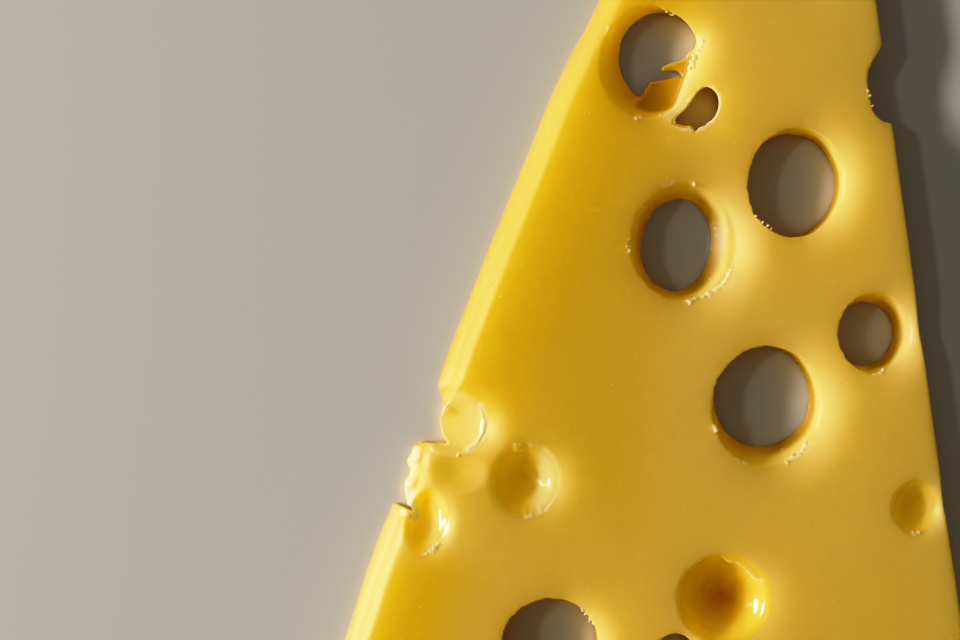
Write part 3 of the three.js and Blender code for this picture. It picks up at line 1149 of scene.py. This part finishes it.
# how far the painted light down the middle and the outer end pales the cheese
MIDDLE_PALER = 0.65
MOTTLING = (34, 5)  # two wavelengths
MOTTLING_FINER = 0.4  # the weight of the second
MOTTLING_RANGE = (0.45, 0.95)
MOTTLING_PALER = 0.35
SPECK_SPACING = 1.7
SPECK_SIZE = 0.2
SPECK_PATCHES = 3
SPECK_PATCH_RANGE = (0.56, 0.62)
SPECK_PALER = 0.7
SPECK_RISE = 0.015
GRAIN = 0.55
GRAIN_RISE = 0.016
WRINKLES = 1.6
WRINKLE_RISE = 0.03
WET_RELIEF = 0.25  # a share of the relief of dry cheese
LIGHT_ENTERS = (0.75, 0.4)  # the share of light that travels inside cut and torn cheese
LIGHT_REACH = (1.0, 0.86, 0.12)  # of red, green and blue
LIGHT_REACH_SCALE = 20
REFRACTION = 1.42
ROUGHNESS = (0.44, 0.56)
ROUGHNESS_PATCHES = 2.5
GLOSS_SMOOTHER = 0.34
TORN_ROUGHER = 0.1


def cheese_material():
    """Moist translucent cheese, wet in the eyes and dry and pale where it is torn. Its colour also holds
    painted light, shade, sheen and a highlight.
    """
    nodes = Nodes("cheese")
    shader = nodes.shader
    torn = nodes.attribute("torn")
    gloss_and_glow = nodes.attribute("gloss_and_glow")
    finer = nodes.maths("MULTIPLY", nodes.noise(MOTTLING[1]), MOTTLING_FINER)
    mottling = nodes.maths("ADD", nodes.noise(MOTTLING[0], 1.0), finer)
    # Paler: painted light down the middle and the outer end, and a tone that differs at random.
    pale = nodes.maths("MULTIPLY", nodes.attribute("pale"), MIDDLE_PALER)
    pale = nodes.maths("ADD", pale, nodes.ramp(mottling, *MOTTLING_RANGE, 0, MOTTLING_PALER))
    body = nodes.mix(pale, BODY_COLOUR, PALE_COLOUR)
    # Painted light: the deeper yellow beside the lit left side.
    body = nodes.mix(nodes.attribute("side_glow"), body, SIDE_GLOW_COLOUR)
    # Painted light: the eye walls drawn brighter, for light that passes through the cheese into their
    # shade.
    body = nodes.mix(gloss_and_glow, body, WALL_GLOW_COLOUR)
    # Painted reflected light: redder towards the foot of the open eyes.
    body = nodes.mix(nodes.attribute("foot_bounce"), body, BOUNCE_COLOUR)
    # Painted sheen on the eye walls and sagging lips, and the torn ridge, in the torn colour.
    body = nodes.mix(nodes.attribute("sheen_and_ridge"), body, TORN_COLOUR)
    # Painted shadow: the band at the foot of the open eyes and the film.
    body = nodes.mix(nodes.attribute("shade"), body, SHADE_COLOUR)
    # Painted shade: brown at the deep eye's thin bottom and on the film.
    body = nodes.mix(nodes.attribute("thin_shade"), body, THIN_SHADE_COLOUR)
    chosen = nodes.ramp(nodes.noise(SPECK_PATCHES, 0.0), *SPECK_PATCH_RANGE, 0, 1)
    specks = nodes.maths("MULTIPLY", nodes.specks(SPECK_SPACING, SPECK_SIZE), chosen)
    body = nodes.mix(nodes.maths("MULTIPLY", specks, SPECK_PALER), body, SPECK_COLOUR)
    # Torn cheese, and the painted highlight along the wet lip.
    nodes.link(nodes.mix(torn, body, TORN_COLOUR), shader, "Base Color")
    rough = nodes.ramp(nodes.noise(ROUGHNESS_PATCHES), 0.3, 0.7, *ROUGHNESS)
    rough = nodes.maths("SUBTRACT", rough, nodes.maths("MULTIPLY", gloss_and_glow, GLOSS_SMOOTHER))
    nodes.link(nodes.maths("ADD", rough, nodes.maths("MULTIPLY", torn, TORN_ROUGHER)), shader, "Roughness")
    relief = nodes.ramp(gloss_and_glow, 0, 1, 1, WET_RELIEF)
    grain = nodes.bump(nodes.maths("MULTIPLY", nodes.noise(GRAIN), relief), GRAIN_RISE)
    wrinkles = nodes.maths("MULTIPLY", nodes.noise(WRINKLES), relief)
    wrinkled = nodes.bump(wrinkles, WRINKLE_RISE, grain)
    nodes.link(nodes.bump(specks, SPECK_RISE, wrinkled), shader, "Normal")
    shader.subsurface_method = "BURLEY"
    nodes.link(nodes.ramp(torn, 0, 1, *LIGHT_ENTERS), shader, "Subsurface Weight")
    shader.inputs["Subsurface Radius"].default_value = LIGHT_REACH
    shader.inputs["Subsurface Scale"].default_value = LIGHT_REACH_SCALE * MM
    shader.inputs["IOR"].default_value = REFRACTION
    return nodes.material


def make_slice():
    """The slice, in place of its solid."""
    field = cheese_field()
    piece = bpy.data.objects.new("cheese", mesh_of(field, "cheese"))
    bpy.context.scene.collection.objects.link(piece)
    piece.data.materials.append(cheese_material())
    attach(piece, "root")
    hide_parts(NODE)
    return piece


# The photograph. It looks straight down, and the slice lies at this turn in it.
PHOTO_CENTRE = (480, 320)
SIDES_MEET_PIXEL = (806, -525)  # where the two long sides would meet
PIXEL = 0.14  # millimetres on the slice's top
TURN = math.radians(7)
FOCAL_PIXELS = 1000
SENSOR = 36
PHOTO_WIDTH = 960
NEAREST_SEEN = 0.005  # metres


def photo_place(pixel):
    """The place on the slice's top that shows at a pixel of the photograph."""
    right = (pixel[0] - SIDES_MEET_PIXEL[0]) * PIXEL
    down = (pixel[1] - SIDES_MEET_PIXEL[1]) * PIXEL
    across = right * math.cos(TURN) + down * math.sin(TURN)
    along = down * math.cos(TURN) - right * math.sin(TURN)
    return Vector(frame_place(across, along, THICKNESS))


def make_camera():
    """The camera, at the photograph's place."""
    data = bpy.data.cameras.new("camera")
    data.sensor_width = SENSOR
    data.lens = FOCAL_PIXELS * SENSOR / PHOTO_WIDTH
    data.clip_start = NEAREST_SEEN
    camera = bpy.data.objects.new("camera", data)
    camera.location = photo_place(PHOTO_CENTRE) + Vector((0, 0, FOCAL_PIXELS * PIXEL * MM))
    camera.rotation_euler = (0, 0, TURN)
    bpy.context.scene.collection.objects.link(camera)
    bpy.context.scene.camera = camera


# The studio. Lengths are in metres, powers in watts.
FLOOR_SIZE = 3
FLOOR_COLOUR = (0.72, 0.70, 0.67, 1)
FLOOR_ROUGHNESS = 0.8
FLOOR_GAP = 0.00005  # below the slice, so that no two faces share a plane
SKY_COLOUR = (1.0, 0.97, 0.9, 1)
SKY_STRENGTH = 0.175
LIGHT_DISTANCE = 2
KEY = dict(azimuth=176, elevation=17, size=(1.0, 0.2), power=58, colour=(1.0, 0.96, 0.88))
SPARKLE = dict(azimuth=176, elevation=36, size=(0.2, 0.14), power=3, colour=(1.0, 0.97, 0.92))


def make_soft_box(name, azimuth, elevation, size, power, colour):
    """A wide soft light. Azimuth 0 is the photograph's right and 90 its top."""
    data = bpy.data.lights.new(name, "AREA")
    data.shape = "RECTANGLE"
    data.size, data.size_y = size
    data.energy = power
    data.color = colour
    light = bpy.data.objects.new(name, data)
    turn = math.radians(azimuth) + TURN
    rise = math.radians(elevation)
    way = Vector((math.cos(turn) * math.cos(rise), math.sin(turn) * math.cos(rise), math.sin(rise)))
    light.location = LIGHT_DISTANCE * way
    light.rotation_euler = way.to_track_quat("Z", "Y").to_euler()
    light.visible_camera = False
    bpy.context.scene.collection.objects.link(light)


# Brightness in the picture for brightness in the scene: deep shade and the weak blue of the
# cheese are held down, as in a vivid photograph, and bright places roll off towards white.
TONES = [
    (0, 0),
    (0.03, 0.002),
    (0.07, 0.014),
    (0.13, 0.06),
    (0.2, 0.13),
    (0.3, 0.23),
    (0.5, 0.46),
    (0.8, 0.76),
    (1.15, 0.92),
    (1.5, 0.98),
    (2.2, 1.0),
]


def set_tones():
    """Gives the picture its tones."""
    view = bpy.context.scene.view_settings
    view.view_transform = "Standard"
    view.use_curve_mapping = True
    white = TONES[-1][0]
    view.curve_mapping.white_level = (white, white, white)
    points = view.curve_mapping.curves[3].points
    points[0].location = TONES[0]
    points[-1].location = (1, 1)
    for brightness, shown in TONES[1:-1]:
        points.new(brightness / white, shown)
    view.curve_mapping.update()


def make_floor():
    """The plain pale floor."""
    bpy.ops.mesh.primitive_plane_add(size=FLOOR_SIZE, location=(0, 0, -FLOOR_GAP))
    floor = bpy.context.object
    floor.name = "floor"
    material = bpy.data.materials.new("floor")
    material.use_nodes = True
    shader = material.node_tree.nodes["Principled BSDF"]
    shader.inputs["Base Color"].default_value = FLOOR_COLOUR
    shader.inputs["Roughness"].default_value = FLOOR_ROUGHNESS
    floor.data.materials.append(material)


def make_light():
    """Weak light from all round, a long low light from the left, and a small one for sparkle."""
    world = bpy.data.worlds.new("studio")
    world.use_nodes = True
    background = world.node_tree.nodes["Background"]
    background.inputs["Color"].default_value = SKY_COLOUR
    background.inputs["Strength"].default_value = SKY_STRENGTH
    bpy.context.scene.world = world
    make_soft_box("key", **KEY)
    make_soft_box("sparkle", **SPARKLE)


make_camera()
make_slice()
make_floor()
make_light()
set_tones()
